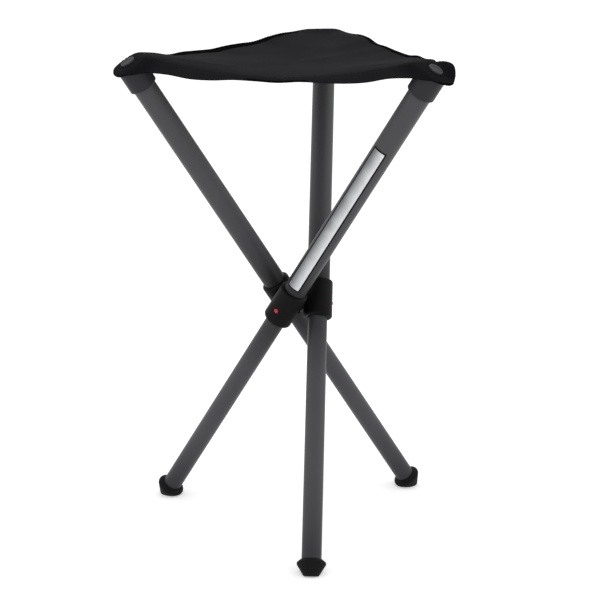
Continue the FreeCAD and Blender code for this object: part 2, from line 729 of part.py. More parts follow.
for item in doc.Objects:
    if "Invalid" in item.State or "Error" in item.State:
        raise RuntimeError(f"{item.Label} didn't build: {item.State}")
for item in parts:
    if item.Shape.isNull() or not item.Shape.isValid() or not item.Shape.Solids:
        raise RuntimeError(f"{item.Label} has no valid shape")

os.makedirs("parts", exist_ok=True)
for item in parts:
    item.Shape.exportStep(f"parts/{item.Label}.step")
    print(f"{item.Label}: {item.Shape.Volume / 1000:.3f} cm3, {len(item.Shape.Solids)} solid")
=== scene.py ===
"""Looks of a collapsible tripod stool with telescopic legs and a cloth seat.

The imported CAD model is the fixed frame. The tubes, collars, caps, feet and
studs keep their CAD shapes and get their real finishes here. The seat cloth,
the label and the latch springs are built here in place of their plain solids.
All sizes are in millimetres in the row frame and are turned to metres where a
mesh is made.
"""

from __future__ import annotations

import json
import logging
import math
from dataclasses import KW_ONLY, dataclass, field
from enum import Enum

import bmesh
import bpy
import numpy as np
from bpy.types import Material, Mesh, NodeOutputs, NodeSocket, NodeTree, Object
from mathutils import Matrix, Vector

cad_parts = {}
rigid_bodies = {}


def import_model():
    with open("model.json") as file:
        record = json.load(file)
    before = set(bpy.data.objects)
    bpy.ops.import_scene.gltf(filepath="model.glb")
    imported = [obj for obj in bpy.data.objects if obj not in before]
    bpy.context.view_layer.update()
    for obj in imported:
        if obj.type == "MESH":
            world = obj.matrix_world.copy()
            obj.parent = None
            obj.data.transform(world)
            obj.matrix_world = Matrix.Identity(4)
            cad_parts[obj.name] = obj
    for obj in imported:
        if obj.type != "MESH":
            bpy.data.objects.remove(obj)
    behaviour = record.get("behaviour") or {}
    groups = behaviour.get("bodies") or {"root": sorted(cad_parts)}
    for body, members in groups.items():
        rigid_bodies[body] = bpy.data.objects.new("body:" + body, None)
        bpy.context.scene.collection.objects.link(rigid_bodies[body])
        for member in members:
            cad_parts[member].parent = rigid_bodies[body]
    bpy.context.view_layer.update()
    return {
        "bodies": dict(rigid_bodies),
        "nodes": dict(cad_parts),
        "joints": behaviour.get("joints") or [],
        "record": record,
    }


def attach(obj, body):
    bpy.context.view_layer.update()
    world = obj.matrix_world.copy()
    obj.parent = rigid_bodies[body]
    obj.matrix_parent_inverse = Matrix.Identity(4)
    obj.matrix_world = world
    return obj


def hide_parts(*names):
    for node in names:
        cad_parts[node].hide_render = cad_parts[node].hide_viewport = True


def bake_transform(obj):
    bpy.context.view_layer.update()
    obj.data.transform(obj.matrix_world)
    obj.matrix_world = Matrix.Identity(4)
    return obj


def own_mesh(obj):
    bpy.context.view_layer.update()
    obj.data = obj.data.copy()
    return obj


LOG = logging.getLogger("stool")
MM = 0.001
LEGS = (1, 2, 3)

Settings = dict[str | int, object]
Sockets = dict[str | int, NodeSocket]
Stops = tuple[tuple[float, str], ...]
Patterns = tuple[Sockets, NodeSocket | None]


class Edge(Enum):
    """The three free edges of the seat, seen from the front, with their corners."""

    FRONT = (2, 3)
    BACK_LEFT = (1, 2)
    BACK_RIGHT = (3, 1)


# ---------------------------------------------------------------- material tools


def linear(hex_code: str) -> tuple[float, ...]:
    """Turn an sRGB colour, written "#rrggbb", into the linear one that the shader takes."""
    parts = (int(hex_code[i : i + 2], 16) / 255 for i in (1, 3, 5))
    return (*(c / 12.92 if c <= 0.04045 else ((c + 0.055) / 1.055) ** 2.4 for c in parts), 1.0)


def grey(value: float) -> str:
    """Write a linear grey as the sRGB colour that a ramp takes."""
    bright = 12.92 * value if value < 0.0031308 else 1.055 * value ** (1 / 2.4) - 0.055
    return "#" + f"{round(bright * 255):02x}" * 3


def add_node(
    tree: NodeTree,
    kind: str,
    settings: Settings | None = None,
    links: Sockets | None = None,
    stops: Stops = (),
) -> NodeOutputs:
    """Add a node, set it up and link what feeds it.

    Args:
        tree: The tree that gets the node.
        kind: Blender's name of the node type, after "ShaderNode".
        settings: Properties or input values, by name or by input number.
        links: Output sockets, by the name or number of the input they feed.
        stops: Places on a colour ramp with their hex colours, lowest first.

    Returns:
        The new node's outputs.
    """
    node = tree.nodes.new("ShaderNode" + kind)
    for name, value in (settings or {}).items():
        if isinstance(name, str) and hasattr(node, name):
            setattr(node, name, value)
        else:
            node.inputs[name].default_value = value
    for name, socket in (links or {}).items():
        tree.links.new(socket, node.inputs[name])
    for _ in stops[2:]:
        node.color_ramp.elements.new(0.5)
    for number, (place, colour) in enumerate(stops):
        node.color_ramp.elements[number].position = place
        node.color_ramp.elements[number].color = linear(colour)
    return node.outputs


def new_material(name: str) -> tuple[Material, NodeTree]:
    """Make a material with an empty node tree.

    Args:
        name: The material's name.

    Returns:
        The material and its tree.
    """
    material = bpy.data.materials.new(name)
    material.use_nodes = True
    material.node_tree.nodes.clear()
    return material, material.node_tree


# ---------------------------------------------------------------- finishes


@dataclass(frozen=True)
class Finish:
    """A surface whose colour runs between two, over a fine relief.

    Attributes:
        dark: Colour at the lowest tone.
        light: Colour at the highest tone.
        span: Tones at which these two are reached.
        flat: True where the patterns lie in a cut piece's flat coordinates.
        cloud: Size of the patches that the tone varies in.
        detail: How finely they are broken up.
        patchy: How much they vary the tone.
        strength: Strength of the relief.
        depth: Depth of the relief.
    """

    name: str
    dark: str
    light: str
    _: KW_ONLY
    span: tuple[float, float] = (0.1, 0.9)
    roughness: float = 0.5
    ior: float = 1.5
    specular: float = 0.5
    metallic: float = 0.0
    flat: bool = False
    cloud: float = 20.0
    detail: float = 4.0
    patchy: float = 0.0
    strength: float = 0.1
    depth: float = 0.05

    def make(self) -> Material:
        """Make the material from the finish's patterns.

        Returns:
            The material.
        """
        material, tree = new_material(self.name)
        if self.flat:
            at = {"Vector": add_node(tree, "UVMap", {"uv_map": "flat"})["UV"]}
        else:
            at = {"Vector": add_node(tree, "TexCoord")["Object"]}
        noise = {"Scale": 1 / (self.cloud * MM), "Detail": self.detail}
        cloud = add_node(tree, "TexNoise", noise, at)["Fac"]
        links, height = self.patterns(tree, at, cloud)
        if height:
            bump = {"Strength": self.strength, "Distance": self.depth * MM}
            links["Normal"] = add_node(tree, "Bump", bump, {"Height": height})["Normal"]
        settings = {
            "Roughness": self.roughness,
            "IOR": self.ior,
            "Specular IOR Level": self.specular,
            "Metallic": self.metallic,
        }
        shader = add_node(tree, "BsdfPrincipled", settings, links)["BSDF"]
        add_node(tree, "OutputMaterial", links={"Surface": shader})
        return material

    def tinted(self, tree: NodeTree, tone: NodeSocket) -> Sockets:
        """Link a colour that runs from dark to light with a tone."""
        stops = tuple(zip(self.span, (self.dark, self.light)))
        return {"Base Color": add_node(tree, "ValToRGB", links={"Fac": tone}, stops=stops)["Color"]}

    def patterns(self, tree: NodeTree, at: Sockets, cloud: NodeSocket) -> Patterns:
        """Draw the finish's patterns, here just its patches.

        Args:
            tree: The material's tree.
            at: Link of the place on the surface, which each pattern takes.
            cloud: Tone of the patches.

        Returns:
            What feeds the shader, and the height of the relief if it has one.
        """
        return self.tinted(tree, cloud), None


@dataclass(frozen=True, kw_only=True)
class AnodisedAluminium(Finish):
    """Drawn aluminium tube, blasted and anodised grey.

    The blasted surface spreads reflections softly, so the tube looks almost
    evenly dull, with no sharp mirror lines. Faint lines run along it from
    drawing. Beside the collar and the foot the tube's colour is darkened as
    painted shade, where those parts shade it.

    Attributes:
        leg: Frame of the tube's leg, with Z up the tube.
        painted_shade: Places along the tube, above the pivot, with their share of painted shade.
        line_spacing: Distance of the drawing lines.
        line_length: How many times longer than wide they are.
        grit: Size of the blasting marks.
        worn: How much smoother and rougher the lines are.
    """

    leg: Matrix
    painted_shade: tuple[tuple[float, float], ...]
    specular: float = 0.2
    cloud: float = 45.0
    detail: float = 2.0
    patchy: float = 0.12
    strength: float = 0.12
    line_spacing: float = 1.4
    line_length: float = 50.0
    grit: float = 0.9
    worn: tuple[float, float] = (-0.05, 0.07)

    def patterns(self, tree: NodeTree, at: Sockets, cloud: NodeSocket) -> Patterns:
        """Draw the painted shade by the place on the tube, drawing lines and blasting marks.

        Args:
            tree: The material's tree.
            at: Link of the place on the surface.
            cloud: Tone of the patches.

        Returns:
            What feeds the shader, and the height of the relief.
        """
        turn = self.leg.to_3x3().inverted()
        pivot = (turn @ self.leg.translation).z
        low, high = self.painted_shade[0][0], self.painted_shade[-1][0]
        upright = {"rotation_type": "EULER_XYZ", "Rotation": turn.to_euler()}
        along = add_node(tree, "VectorRotate", upright, at)
        drawn = {"Scale": (1.0, 1.0, 1 / self.line_length)}
        drawn = add_node(tree, "Mapping", drawn, {"Vector": along["Vector"]})
        noise = {"Scale": 1 / (self.line_spacing * MM), "Detail": 2.0}
        lines = add_node(tree, "TexNoise", noise, {"Vector": drawn["Vector"]})["Fac"]
        noise = {"Scale": 1 / (self.grit * MM), "Detail": 3.0}
        grit = add_node(tree, "TexNoise", noise, at)["Fac"]
        height = add_node(tree, "SeparateXYZ", links={"Vector": along["Vector"]})["Z"]
        reach = {1: (pivot + low) * MM, 2: (pivot + high) * MM}
        share = add_node(tree, "MapRange", reach, {"Value": height})["Result"]
        # Painted shade: the colour darkens towards the collar and the foot
        stops = tuple(((at - low) / (high - low), grey(painted_shade)) for at, painted_shade in self.painted_shade)
        painted_shade = add_node(tree, "ValToRGB", links={"Fac": share}, stops=stops)["Color"]
        patch = {"operation": "MULTIPLY_ADD", 1: self.patchy, 2: -self.patchy / 2}
        patches = add_node(tree, "Math", patch, {0: cloud})["Value"]
        total = {"operation": "ADD", "use_clamp": True}
        # Random patches plus the painted shade set the tone
        patches_and_shade = add_node(tree, "Math", total, {0: patches, 1: painted_shade})["Value"]
        colours = {"data_type": "RGBA", 6: linear(self.dark), 7: linear(self.light)}
        colour = add_node(tree, "Mix", colours, {0: patches_and_shade})[2]
        spread = {3: self.roughness + self.worn[0], 4: self.roughness + self.worn[1]}
        spread = add_node(tree, "MapRange", spread, {"Value": lines})["Result"]
        marks = add_node(tree, "Math", {"operation": "ADD"}, {0: lines, 1: grit})["Value"]
        return {"Base Color": colour, "Roughness": spread}, marks


@dataclass(frozen=True, kw_only=True)
class MouldedPlastic(Finish):
    """Injection-moulded plastic with the fine grain of a spark-eroded mould.

    The grain breaks the highlight into a soft satin glow. Edges that hands and
    the floor reach are rubbed a little lighter and smoother.

    Attributes:
        grain: Distance of the grains.
        edges: Sharpness where the rubbing starts and is full, and its share.
        worn: How much rougher and smoother the surface gets.
    """

    ior: float = 1.53
    cloud: float = 14.0
    patchy: float = 0.35
    strength: float = 0.3
    depth: float = 0.04
    grain: float = 0.8
    edges: tuple[float, float, float] = (0.5, 0.62, 0.7)
    worn: tuple[float, float] = (0.05, -0.08)

    def patterns(self, tree: NodeTree, at: Sockets, cloud: NodeSocket) -> Patterns:
        """Draw the grain and the rubbed edges and patches.

        Args:
            tree: The material's tree.
            at: Link of the place on the surface.
            cloud: Tone of the patches.

        Returns:
            What feeds the shader, and the height of the relief.
        """
        grain = add_node(tree, "TexVoronoi", {"Scale": 1 / (self.grain * MM)}, at)["Distance"]
        sharp = {"Value": add_node(tree, "NewGeometry")["Pointiness"]}
        rub = add_node(tree, "MapRange", dict(zip((1, 2, 4), self.edges)), sharp)["Result"]
        total = {"operation": "MULTIPLY_ADD", 1: self.patchy}
        worn = add_node(tree, "Math", total, {0: cloud, 2: rub})["Value"]
        spread = {3: self.roughness + self.worn[0], 4: self.roughness + self.worn[1]}
        spread = add_node(tree, "MapRange", spread, {"Value": worn})["Result"]
        return {**self.tinted(tree, worn), "Roughness": spread}, grain


@dataclass(frozen=True, kw_only=True)
class MouldedRubber(Finish):
    """Vulcanised rubber of the feet, matt, with floor dust near the sole."""

    name: str = "black_rubber"
    dark: str = "#0f0f10"
    light: str = "#242322"
    span: tuple[float, float] = (0.1, 0.6)
    roughness: float = 0.72
    ior: float = 1.52
    specular: float = 0.12
    cloud: float = 3.0
    detail: float = 5.0
    strength: float = 0.25
    grain: float = 1.2
    dust_height: float = 7.0
    dust_share: float = 0.8

    def patterns(self, tree: NodeTree, at: Sockets, cloud: NodeSocket) -> Patterns:
        """Draw the dust, thicker towards the floor, and the grain.

        Args:
            tree: The material's tree.
            at: Link of the place on the surface.
            cloud: Tone of the patches.

        Returns:
            What feeds the shader, and the height of the relief.
        """
        height = add_node(tree, "SeparateXYZ", links=at)["Z"]
        reach = {1: self.dust_height * MM, 2: 0.0, 4: self.dust_share}
        low = add_node(tree, "MapRange", reach, {"Value": height})["Result"]
        dust = add_node(tree, "Math", {"operation": "MULTIPLY"}, {0: low, 1: cloud})["Value"]
        grain = add_node(tree, "TexVoronoi", {"Scale": 1 / (self.grain * MM)}, at)["Distance"]
        return self.tinted(tree, dust), grain


@dataclass(frozen=True, kw_only=True)
class TurnedSteel(Finish):
    """Machined steel of the pins, washers and springs, with turning marks."""

    span: tuple[float, float] = (0.4, 0.7)
    metallic: float = 1.0
    cloud: float = 6.0
    depth: float = 0.03
    mark_scale: float = 10.0

    def patterns(self, tree: NodeTree, at: Sockets, cloud: NodeSocket) -> Patterns:
        """Draw stains and the turning marks.

        Args:
            tree: The material's tree.
            at: Link of the place on the surface.
            cloud: Tone of the patches.

        Returns:
            What feeds the shader, and the height of the relief.
        """
        rings = {
            "wave_type": "RINGS",
            "rings_direction": "SPHERICAL",
            "Scale": 1 / (self.mark_scale * MM),
            "Distortion": 1.5,
        }
        return self.tinted(tree, cloud), add_node(tree, "TexWave", rings, at)["Fac"]


@dataclass(frozen=True, kw_only=True)
class WovenPolyester(Finish):
    """Plain-woven polyester, dyed near black and coated on the inside.

    The threads give a matt, slightly furry dark surface. The real threads lie
    0.45 mm apart, too close to show, so the weave is drawn with threads 1.3 mm
    apart. The cloth is doubled over the leg tops and looks darker there.

    Attributes:
        patch: Colour of the doubled cloth.
        corner_at: Distance of the leg tops from the middle of the seat.
        patch_radius: Reach of the doubled cloth round a leg top.
        patch_blend: Width over which it fades into the rest.
        thread: Distance of the threads.
        thread_share: How much the threads lighten the colour.
        fuzz: Size of the tufts.
        fuzz_share: Height of the tufts, set against that of the threads.
    """

    patch: str
    corner_at: float
    span: tuple[float, float] = (0.35, 0.9)
    roughness: float = 0.85
    specular: float = 0.03
    flat: bool = True
    cloud: float = 60.0
    detail: float = 3.0
    strength: float = 0.35
    depth: float = 0.15
    patch_radius: float = 30.0
    patch_blend: float = 20.0
    thread: float = 1.3
    thread_share: float = 0.35
    fuzz: float = 2.2
    fuzz_share: float = 0.6

    def patterns(self, tree: NodeTree, at: Sockets, cloud: NodeSocket) -> Patterns:
        """Draw threads, tufts and the doubled cloth, in flat coordinates.

        Args:
            tree: The material's tree.
            at: Link of the place on the surface.
            cloud: Tone of the patches.

        Returns:
            What feeds the shader, and the height of the relief.
        """
        # Wave's Scale gives one band in 0.314 units at a scale of 1
        wave = {"Scale": math.pi / (10 * self.thread * MM), "Distortion": 0.4}
        threads = {}
        for number, axis in enumerate("XY"):
            bands = {"bands_direction": axis, **wave}
            threads[number] = add_node(tree, "TexWave", bands, at)["Fac"]
        weave = add_node(tree, "Math", {"operation": "MULTIPLY"}, threads)["Value"]
        noise = {"Scale": 1 / (self.fuzz * MM), "Detail": 4.0}
        fuzz = add_node(tree, "TexNoise", noise, at)["Fac"]
        total = {"operation": "MULTIPLY_ADD", 1: self.thread_share}
        tone = add_node(tree, "Math", total, {0: weave, 2: cloud})["Value"]
        centre = {"operation": "DISTANCE", 1: (self.corner_at * MM, 0.0, 0.0)}
        away = add_node(tree, "VectorMath", centre, {0: at["Vector"]})["Value"]
        reach = {
            "interpolation_type": "SMOOTHSTEP",
            1: (self.patch_radius + self.patch_blend) * MM,
            2: self.patch_radius * MM,
        }
        doubled = add_node(tree, "MapRange", reach, {"Value": away})["Result"]
        colours = {0: doubled, 6: self.tinted(tree, tone)["Base Color"]}
        patch = {"data_type": "RGBA", 7: linear(self.patch)}
        total = {"operation": "MULTIPLY_ADD", 1: self.fuzz_share}
        height = add_node(tree, "Math", total, {0: fuzz, 2: weave})["Value"]
        return {"Base Color": add_node(tree, "Mix", patch, colours)[2]}, height


@dataclass(frozen=True, kw_only=True)
class TwistedThread(Finish):
    """Bonded nylon sewing thread, a little glossier than the cloth.

    Its patches are the light and dark of the twist.
    """

    name: str = "sewing_thread"
    dark: str = "#101011"
    light: str = "#1a1a1c"
    span: tuple[float, float] = (0.3, 0.8)
    roughness: float = 0.6
    ior: float = 1.53
    specular: float = 0.1
    cloud: float = 0.9
    detail: float = 1.0


@dataclass(frozen=True, kw_only=True)
class PrintedFilm(Finish):
    """Polyester label film with a metallised or a printed face.

    The metallised field runs from grey to a bright edge, a painted reflection
    across the film, with uneven patches as foil under a clear coat has. The
    printed border is black all over.

    Attributes:
        half_width: Half the width that the painted reflection runs over.
        shading: How much of the tone comes from the place across the film, as painted reflection.
        waves: Size of the waves of the coat.
    """

    span: tuple[float, float] = (0.3, 0.95)
    flat: bool = True
    detail: float = 2.0
    patchy: float = 0.4
    strength: float = 0.08
    depth: float = 0.04
    half_width: float = 6.4
    shading: float = 0.8
    waves: float = 1.0

    def patterns(self, tree: NodeTree, at: Sockets, cloud: NodeSocket) -> Patterns:
        """Draw the painted reflection across the film and the waves, in the label's flat
        coordinates.

        Args:
            tree: The material's tree.
            at: Link of the place on the surface.
            cloud: Tone of the patches.

        Returns:
            What feeds the shader, and the height of the relief.
        """
        across = add_node(tree, "SeparateXYZ", links=at)["X"]
        # Painted reflection: the tone grows from one side of the film to the other
        reach = {1: -self.half_width * MM, 2: self.half_width * MM, 4: self.shading}
        share = add_node(tree, "MapRange", reach, {"Value": across})["Result"]
        noise = {"Scale": 1 / (self.waves * MM), "Detail": self.detail}
        waves = add_node(tree, "TexNoise", noise, at)["Fac"]
        total = {"operation": "MULTIPLY_ADD", 1: self.patchy}
        tone = add_node(tree, "Math", total, {0: cloud, 2: share})["Value"]
        return self.tinted(tree, tone), waves


# ---------------------------------------------------------------- mesh tools


def smooth_step(value: np.ndarray | float) -> np.ndarray | float:
    """Ease a value from 0 to 1, flat at both ends."""
    held = np.clip(value, 0.0, 1.0)
    return held * held * (3 - 2 * held)


def along_edge(heights: tuple[float, ...], place: np.ndarray | float) -> np.ndarray:
    """Read a height that changes smoothly along an edge.

    Args:
        heights: Heights at even steps from one end of the edge to the other.
        place: Where to read it, from 0 to 1.

    Returns:
        The height at each place.
    """
    values = np.asarray(heights, float)
    steps = len(values) - 1
    at = np.clip(np.asarray(place, float), 0, 1) * steps
    low = np.minimum(at.astype(int), steps - 1)
    part = at - low
    before, after = values[np.maximum(low - 1, 0)], values[np.minimum(low + 2, steps)]
    start, end = values[low], values[low + 1]
    return (
        start * (1 + 2 * part) * (1 - part) ** 2
        + (end - before) / 2 * part * (1 - part) ** 2
        + end * part**2 * (3 - 2 * part)
        + (after - start) / 2 * part**2 * (part - 1)
    )


def quarter_wave(count: int) -> np.ndarray:
    """Steps from 0 to 1 that lie closer together towards 1."""
    return np.sin(np.linspace(0, 1, count) * math.pi / 2)


def add_object(name: str, data: bpy.types.ID) -> Object:
    """Add an object to the scene.

    Args:
        name: The object's name.
        data: Its mesh, light or camera.

    Returns:
        The object.
    """
    made = bpy.data.objects.new(name, data)
    bpy.context.scene.collection.objects.link(made)
    return made


@dataclass
class Piece:
    """A mesh in the making: points, faces, and what each face is made of."""

    points: list[Vector] = field(default_factory=list)
    flat: list[tuple[float, float]] = field(default_factory=list)
    faces: list[tuple[int, ...]] = field(default_factory=list)
    finishes: list[int] = field(default_factory=list)
    plain: set[int] = field(default_factory=set)

    def add_point(self, place: Vector, flat: tuple[float, float] = (0.0, 0.0)) -> int:
        """Add a point.

        Args:
            place: Where it is, in millimetres.
            flat: Where it lies on the flat cut.

        Returns:
            Its number.
        """
        self.points.append(place)
        self.flat.append(flat)
        return len(self.points) - 1

    def add_face(self, *corners: int, finish: int = 0, plain: bool = False) -> None:
        """Add a face.

        Args:
            corners: Numbers of its points, anticlockwise seen from outside.
            finish: Number of its material.
            plain: True for a cut edge, which keeps its own flat shading.
        """
        if plain:
            self.plain.add(len(self.faces))
        self.faces.append(corners)
        self.finishes.append(finish)

    def add_band(
        self, first: list[int], second: list[int], finish: int = 0, plain: bool = False
    ) -> None:
        """Add the faces between two rows of points that lie side by side."""
        for a, b, c, d in zip(first, first[1:], second[1:], second):
            self.add_face(a, b, c, d, finish=finish, plain=plain)

    def build(self, name: str, finishes: list[Material], closed: bool = True) -> Object:
        """Turn the piece into an object in metres.

        Args:
            name: The object's name.
            finishes: Its materials, in the order that the faces number them.
            closed: True where the faces enclose a volume and are turned outwards.

        Returns:
            The object, in the scene's collection.
        """
        mesh = bpy.data.meshes.new(name)
        mesh.from_pydata([p * MM for p in self.points], [], self.faces)
        if closed:
            work = bmesh.new()
            work.from_mesh(mesh)
            bmesh.ops.recalc_face_normals(work, faces=work.faces)
            work.to_mesh(mesh)
            work.free()
        for material in finishes:
            mesh.materials.append(material)
        mesh.polygons.foreach_set("material_index", self.finishes)
        mesh.polygons.foreach_set("use_smooth", [True] * len(self.faces))
        layer = mesh.uv_layers.new(name="flat")
        corner_points = np.empty(len(mesh.loops), int)
        mesh.loops.foreach_get("vertex_index", corner_points)
        layer.data.foreach_set("uv", (np.asarray(self.flat)[corner_points] * MM).ravel())
        mesh.update()
        return add_object(name, mesh)


def share_shading(made: list[tuple[Piece, Object]]) -> None:
    """Shade neighbouring pieces of one cloth as one surface across their seams.

    Args:
        made: The pieces with their objects.
    """
    sums: dict[tuple[int, ...], Vector] = {}

    def key(mesh: Mesh, point: int) -> tuple[int, ...]:
        """Name a point's place to a hundredth of a millimetre."""
        return tuple(round(c * 1e5) for c in mesh.vertices[point].co)

    for piece, thing in made:
        for face in thing.data.polygons:
            if face.index not in piece.plain:
                for point in face.vertices:
                    name = key(thing.data, point)
                    sums[name] = sums.get(name, Vector()) + face.normal * face.area
    for piece, thing in made:
        shading = []
        for face in thing.data.polygons:
            for point in face.vertices:
                if face.index in piece.plain:
                    shading.append(face.normal.copy())
                else:
                    shading.append(sums[key(thing.data, point)].normalized())
        thing.data.normals_split_custom_set(shading)


# ---------------------------------------------------------------- the stool


@dataclass
class Stance:
    """Where the legs stand when the stool is open."""

    seat_height: float = 499.0
    pivot_height: float = 238.0
    hub_radius: float = 23.0
    lean: float = math.radians(33.6)

    def leg(self, number: int) -> Matrix:
        """Frame of a leg: origin at its pivot, Z up the tube, X outwards.

        Args:
            number: Number of the leg.

        Returns:
            The frame, in millimetres.
        """
        turn = Matrix.Rotation(math.radians(120 * (number - 1)), 4, "Z")
        shift = Matrix.Translation((self.hub_radius, 0, self.pivot_height))
        return turn @ shift @ Matrix.Rotation(-self.lean, 4, "X")

    @property
    def spread(self) -> float:
        """Distance that a leg's top stands out sideways from its pivot."""
        return (self.seat_height - self.pivot_height) * math.tan(self.lean)

    @property
    def radius(self) -> float:
        """Distance of the leg tops from the middle of the stool."""
        return math.hypot(self.hub_radius, self.spread)

    @property
    def azimuth(self) -> float:
        """Direction of the first leg's top, seen from above."""
        return math.atan2(self.spread, self.hub_radius)


@dataclass
class EdgeShape:
    """How one edge of the seat hangs, from one corner's crest to the other's.

    Attributes:
        bend: How squarely the cloth turns down at the edge, in its middle.
        lip_shade_tape: How much of the black tape's width lies on top, as painted shade on the
            inner face of a raised hem.
        rise: Height of the edge above the line of the sagging cloth.
        hem: Height of the hem above the floor.
        lip: Height of the hem where it stands up above the cloth.
    """

    bend: float
    lip_shade_tape: float
    rise: tuple[float, ...]
    hem: tuple[float, ...]
    lip: tuple[float, ...]


@dataclass
class CornerShape:
    """How one corner of the seat lies over its leg top.

    Attributes:
        reach: Leg top to the outer end of the corner.
        square: How squarely its end is cut.
        tip_hem: Height of the hem at its outer end, where the cloth isn't lower.
        lift: Height of its crest above the meeting of clamped face and seat.
        slant: How much further out its far side ends than its middle.
        raised: Height of its far side above the clamped face, crest to end.
    """

    reach: float
    square: float
    tip_hem: float
    lift: float
    slant: float = 0.0
    raised: tuple[float, ...] = (0.0, 0.0)


@dataclass
class Fold:
    """A soft pull line that runs from a corner into the seat.

    Attributes:
        corner: Number of the corner it starts at.
        angle: Direction from the line to the middle, in degrees.
        width: Half width, in degrees.
        height: Height at its middle.
        start: Distance from the leg top where it begins.
        end: Distance from the leg top where it has died out.
    """

    corner: int
    angle: float
    width: float
    height: float
    start: float
    end: float


@dataclass
class SeatCover:
    """The cloth seat: one hemmed sheet, clamped at three corners.

    It is cut into nine pieces: a corner over each leg top, which rides on its
    own body, and two fields beside each corner, which stay in place.

    Attributes:
        thick: Thickness of the doubled cloth.
        stud_head: Thickness of a stud's head.
        clamp_gap: Room between the head and the cloth.
        offset: Middle line of a leg top to the edge of the cloth.
        middle: Height of the cloth in the seat's middle.
        crest_inset: Leg top to the crest, where the cloth turns into the seat.
        roll: Radius of that turn.
        corner_bend: How squarely the cloth turns down at a corner's edges.
        sag: How quickly the cloth sags inwards from a crest.
        rise_in: How quickly an edge's own height dies out inwards.
        lip_width: Width of the hem where it stands up.
        lip_top: Share of that width that is at full height.
        wrap: Least depth of a corner's hem, in thicknesses.
        hem_round: Depth of a hem's rounding, in thicknesses.
        crease: Width of the crease beside a corner; not used.
        tape: How much of the black tape, partly painted shade, shows on the side of a hem.
        stud_reach: Where a corner's far side starts to rise, from its middle.
        flare: Width over which it rises.
        fold_rise: How much sooner than halfway a pull line is at full height.
        sliver: Least width at a corner's outer end, so that no face is empty.
        path_steps: Steps of the path that a row of stitches follows.
    """

    stance: Stance
    thick: float = 2.0
    stud_head: float = 1.8
    clamp_gap: float = 0.15
    offset: float = 12.0
    middle: float = 490.5
    crest_inset: float = 13.0
    roll: float = 1.6
    corner_bend: float = 4.5
    sag: float = 1.6
    rise_in: float = 1.5
    lip_width: float = 6.0
    lip_top: float = 0.3
    wrap: float = 1.2
    hem_round: float = 0.35
    crease: float = 12.0
    tape: float = 1.6
    stud_reach: float = 8.0
    flare: float = 14.0
    fold_rise: float = 1.4
    sliver: float = 0.02
    path_steps: int = 160
    stitch_inset: float = 4.0
    stitch_length: float = 3.2
    stitch_pitch: float = 4.2
    thread: float = 0.55
    rows: int = 36
    columns: int = 28
    corners: dict[int, CornerShape] = field(
        default_factory=lambda: {
            1: CornerShape(14.0, 5.0, 487.0, 2.6),
            2: CornerShape(13.0, 5.0, 487.0, 1.1),
            3: CornerShape(14.2, 5.0, 490.0, 1.1, 1.5, (0.0, 5.5, 10.0, 13.5, 16.5, 18.5, 19.5)),
        }
    )
    # Heights at twelve even steps along each edge
    edges: dict[Edge, EdgeShape] = field(
        default_factory=lambda: {
            Edge.FRONT: EdgeShape(
                4.5,
                0.0,
                (0, -0.4, -0.8, -1.1, -1.4, -1.5, -1.5, -1.5, -1.4, -1.1, -0.8, -0.4, 0),
                (490, 488.6, 485, 484.2, 485.2, 484.5)
                + (483.5, 484.9, 484.5, 484.4, 486.1, 490.3, 491.2),
                (0,) * 13,
            ),
            Edge.BACK_LEFT: EdgeShape(
                8.0,
                15.0,
                (0, 3.8, 8.4, 9.7, 7.6, 8.3, 8.6, 6, 4.7, 2.9, -0.5, 1.8, 0),
                (490.5, 490, 489.5, 489.1, 488.8, 488.6)
                + (488.5, 488.6, 488.8, 489.1, 489.5, 490, 490.5),
                (0, 0, 0, 0, 1.5, 3, 3, 3, 3.2, 3.2, 2, 0, 0),
            ),
            Edge.BACK_RIGHT: EdgeShape(
                8.0,
                7.0,
                (0, 1.8, 4.2, 4.8, 8.1, 10.9, 13.4, 12.7, 15.7, 14.1, 9.7, 4.3, 0),
                (494, 492.5, 491, 490, 489, 488.6)
                + (488.5, 488.6, 488.8, 489.1, 489.5, 490, 490.5),
                (0, 0, 3.5, 3.5, 3, 3, 2.5, 2.5, 2, 1.5, 0, 0, 0),
            ),
        }
    )
    folds: tuple[Fold, ...] = (
        Fold(2, -9.0, 3.5, 1.2, 20.0, 170.0),
        Fold(2, 6.0, 3.0, -0.8, 25.0, 150.0),
        Fold(2, 16.0, 3.0, 0.8, 25.0, 120.0),
        Fold(3, 8.0, 3.5, 1.2, 20.0, 170.0),
        Fold(3, -5.0, 3.0, -0.7, 25.0, 140.0),
        Fold(3, -15.0, 3.0, 0.8, 25.0, 120.0),
        Fold(1, 4.0, 4.0, 0.9, 22.0, 130.0),
        Fold(1, -10.0, 3.5, -0.7, 22.0, 120.0),
        Fold(1, 15.0, 3.0, 0.7, 22.0, 110.0),
    )

    def __post_init__(self) -> None:
        """Work out the plan of a corner from the stance."""
        self.crest = self.stance.radius - self.crest_inset
        self.corner_width = self.crest_inset * math.tan(math.pi / 6)
        self.corner_width += self.offset / math.cos(math.pi / 6)
        reach = self.stance.radius / 2 + self.offset
        self.edge_middle = np.array([reach / 2, reach * math.sin(math.pi / 3)])
        self.skew = math.pi / 2 - self.stance.azimuth
        inwards = self.stance.radius - self.crest_inset / math.cos(self.skew)
        self.peak = float(self.clamped(inwards, 0.0))

    def clamped(self, across: np.ndarray, along: np.ndarray) -> np.ndarray:
        """Height of the cloth's upper face where it is clamped on a leg top.

        Args:
            across: Distance from the middle of the stool towards the corner.
            along: Distance sideways.

        Returns:
            The height.
        """
        out = math.cos(self.skew) * (across - self.stance.radius)
        out = out + math.sin(self.skew) * along
        down = (self.stud_head + self.clamp_gap) / math.cos(self.stance.lean)
        return self.stance.seat_height - down - math.tan(self.stance.lean) * out

